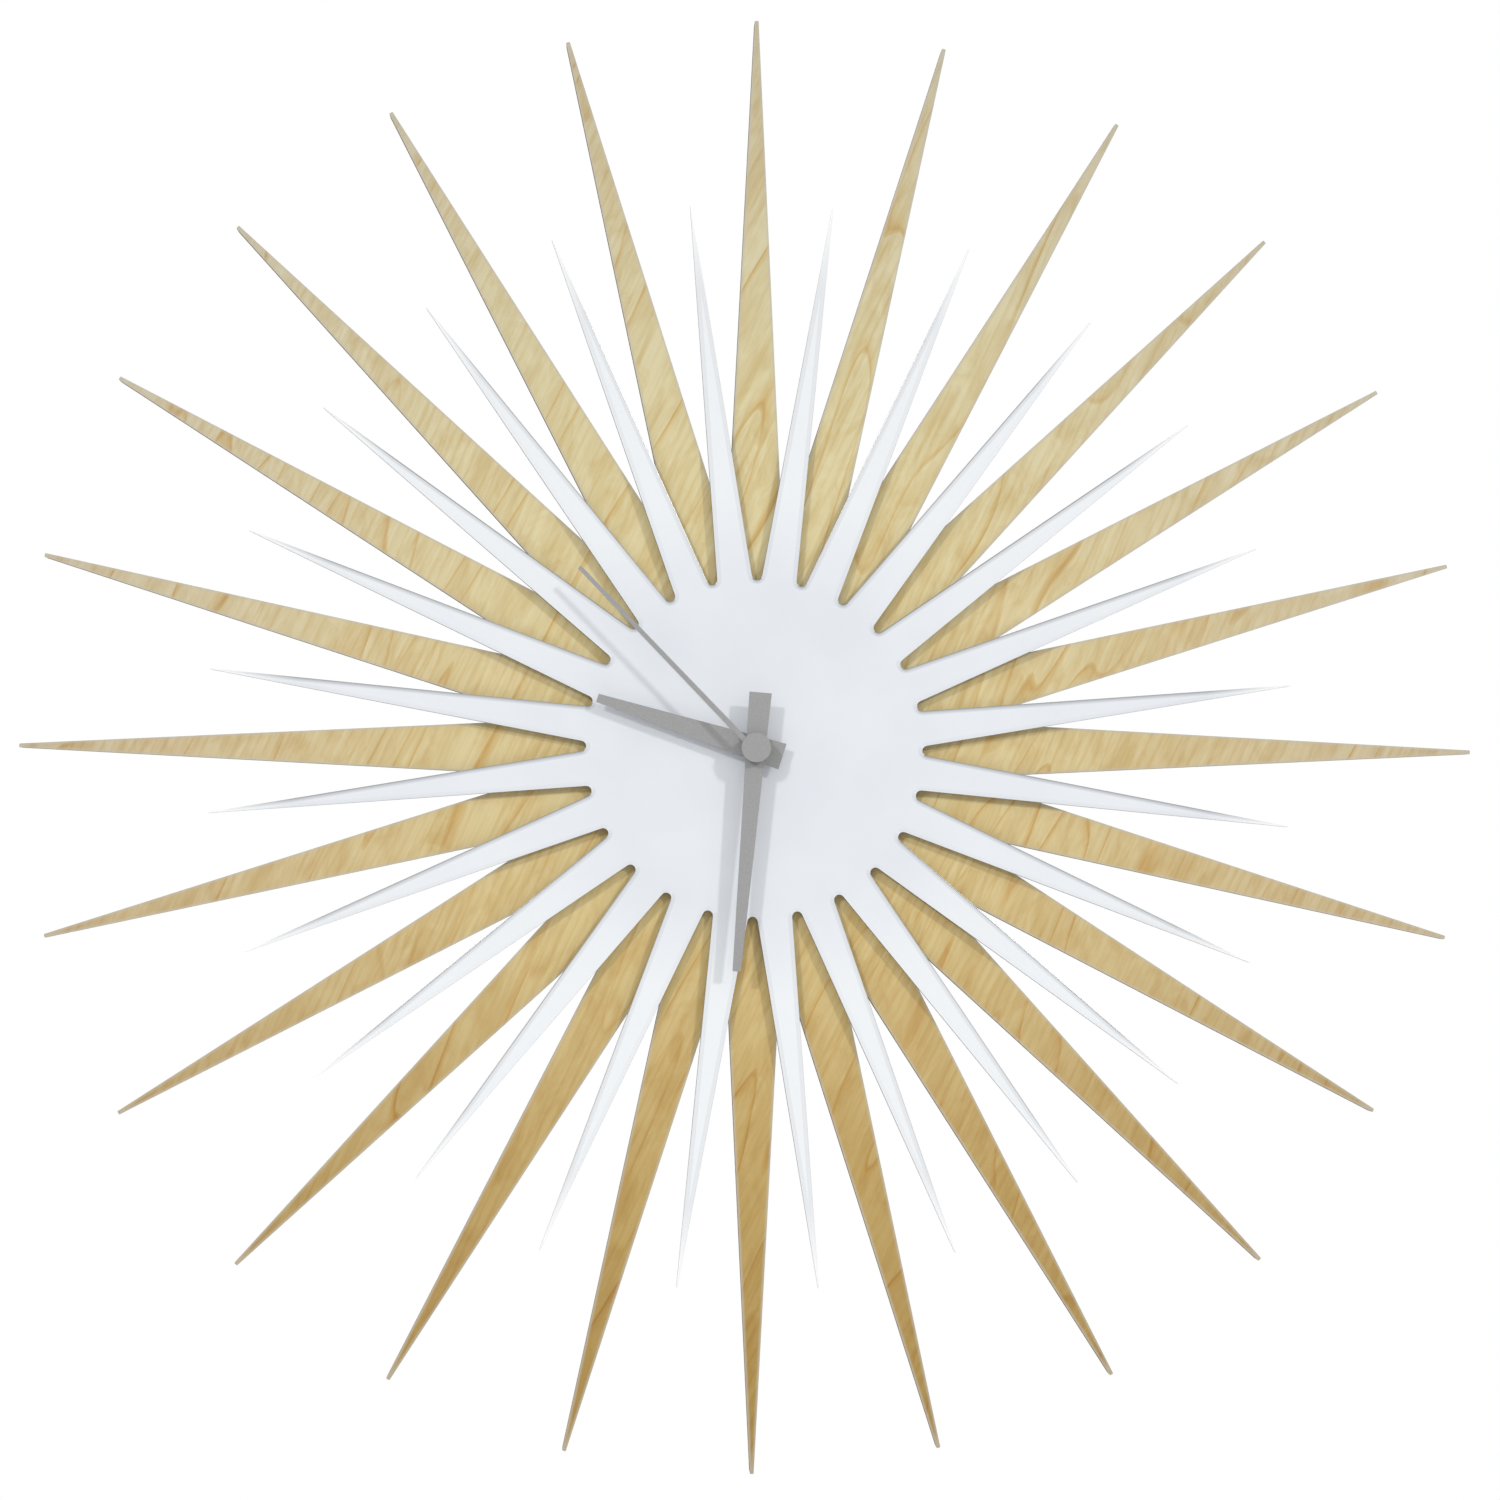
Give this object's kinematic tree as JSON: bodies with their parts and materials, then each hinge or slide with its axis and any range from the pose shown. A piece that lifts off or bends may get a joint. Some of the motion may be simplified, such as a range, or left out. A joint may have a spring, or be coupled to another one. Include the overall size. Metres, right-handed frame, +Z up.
{
  "type": "sunburst wall clock",
  "caption": "Sunburst wall clock: a maple star of tapering rays behind a smaller white star, three plain grey hands and a quartz movement with its full wheel train.",
  "frame": {"origin": "on the hands' axis, in the plane of the wall that the movement's rear cover meets", "axes": "+Z up, +X to the right of a person looking at the dial, +Y into the wall; the dial faces -Y"},
  "size_m": [0.6096, 0.0399, 0.6096],
  "materials": {
    "maple_board": "clear matt lacquer over maple veneer",
    "adhesive": "clear adhesive film",
    "white_acrylic": "gloss white acrylic sheet",
    "black_abs": "moulded black ABS with a fine texture",
    "brass": "turned brass",
    "zinc_steel": "zinc plated steel strip",
    "rubber": "black rubber",
    "acetal": "moulded natural acetal",
    "copper_wire": "enamelled copper wire",
    "circuit_board": "green solder mask",
    "nickel_plate": "nickel plated strip",
    "black_epoxy": "black epoxy drop",
    "grey_hand": "aluminium sheet with matt grey paint",
    "grey_knob": "moulded grey ABS",
    "ferrite": "sintered magnet",
    "cell_wrap": "glossy printed sleeve, left plain"
  },
  "bodies": {
    "clock_body": {"maple_sunburst": "maple_board", "adhesive_film": "adhesive", "white_sunburst": "white_acrylic", "movement_case": "black_abs", "rear_cover": "black_abs", "threaded_bushing": "brass", "hanger_bracket": "zinc_steel", "rubber_washer": "rubber", "brass_washer": "brass", "hex_nut": "brass", "stator": "zinc_steel", "coil_core": "zinc_steel", "coil_bobbin": "acetal", "coil_winding": "copper_wire", "circuit_board": "circuit_board", "quartz_crystal": "nickel_plate", "chip_cover": "black_epoxy", "positive_contact": "nickel_plate", "negative_contact": "nickel_plate"},
    "minute": {"minute_wheel": "brass", "minute_hand": "grey_hand"},
    "hour": {"hour_wheel": "acetal", "hour_hand": "grey_hand"},
    "seconds": {"seconds_wheel": "acetal", "second_hand": "grey_hand"},
    "motion": {"motion_wheel": "acetal"},
    "setting": {"setting_wheel": "grey_knob"},
    "third": {"third_wheel": "acetal"},
    "intermediate": {"intermediate_wheel": "acetal"},
    "rotor": {"rotor": "acetal", "rotor_magnet": "ferrite"},
    "cell": {"aa_cell": "cell_wrap"}
  },
  "joints": [
    {"name": "minute_spin", "type": "hinge", "parent": "clock_body", "child": "minute", "pos_m": [0, 0, 0], "axis": [0, 1, 0], "continuous": true},
    {"name": "hour_spin", "type": "hinge", "parent": "clock_body", "child": "hour", "pos_m": [0, 0, 0], "axis": [0, 1, 0], "continuous": true},
    {"name": "seconds_spin", "type": "hinge", "parent": "clock_body", "child": "seconds", "pos_m": [0, 0, 0], "axis": [0, 1, 0], "continuous": true},
    {"name": "motion_spin", "type": "hinge", "parent": "clock_body", "child": "motion", "pos_m": [0, 0, 0.00952], "axis": [0, 1, 0], "continuous": true},
    {"name": "setting_spin", "type": "hinge", "parent": "clock_body", "child": "setting", "pos_m": [0.00612, 0, 0.01681], "axis": [0, 1, 0], "continuous": true},
    {"name": "third_spin", "type": "hinge", "parent": "clock_body", "child": "third", "pos_m": [0.00895, 0, 0.00326], "axis": [0, 1, 0], "continuous": true},
    {"name": "intermediate_spin", "type": "hinge", "parent": "clock_body", "child": "intermediate", "pos_m": [-0.00895, 0, 0.00326], "axis": [0, 1, 0], "continuous": true},
    {"name": "rotor_spin", "type": "hinge", "parent": "clock_body", "child": "rotor", "pos_m": [-0.01518, 0, 0.00686], "axis": [0, 1, 0], "continuous": true},
    {"name": "cell_slide", "type": "slide", "parent": "clock_body", "child": "cell", "axis": [0, 1, 0], "range_m": [0, 0.03]}
  ],
  "couplings": [
    {"joint": "hour_spin", "follows": "minute_spin", "ratio": 0.083333},
    {"joint": "seconds_spin", "follows": "minute_spin", "ratio": 60},
    {"joint": "motion_spin", "follows": "minute_spin", "ratio": -0.33333},
    {"joint": "setting_spin", "follows": "minute_spin", "ratio": 1},
    {"joint": "third_spin", "follows": "minute_spin", "ratio": -8},
    {"joint": "intermediate_spin", "follows": "minute_spin", "ratio": -360},
    {"joint": "rotor_spin", "follows": "minute_spin", "ratio": 1800}
  ]
}
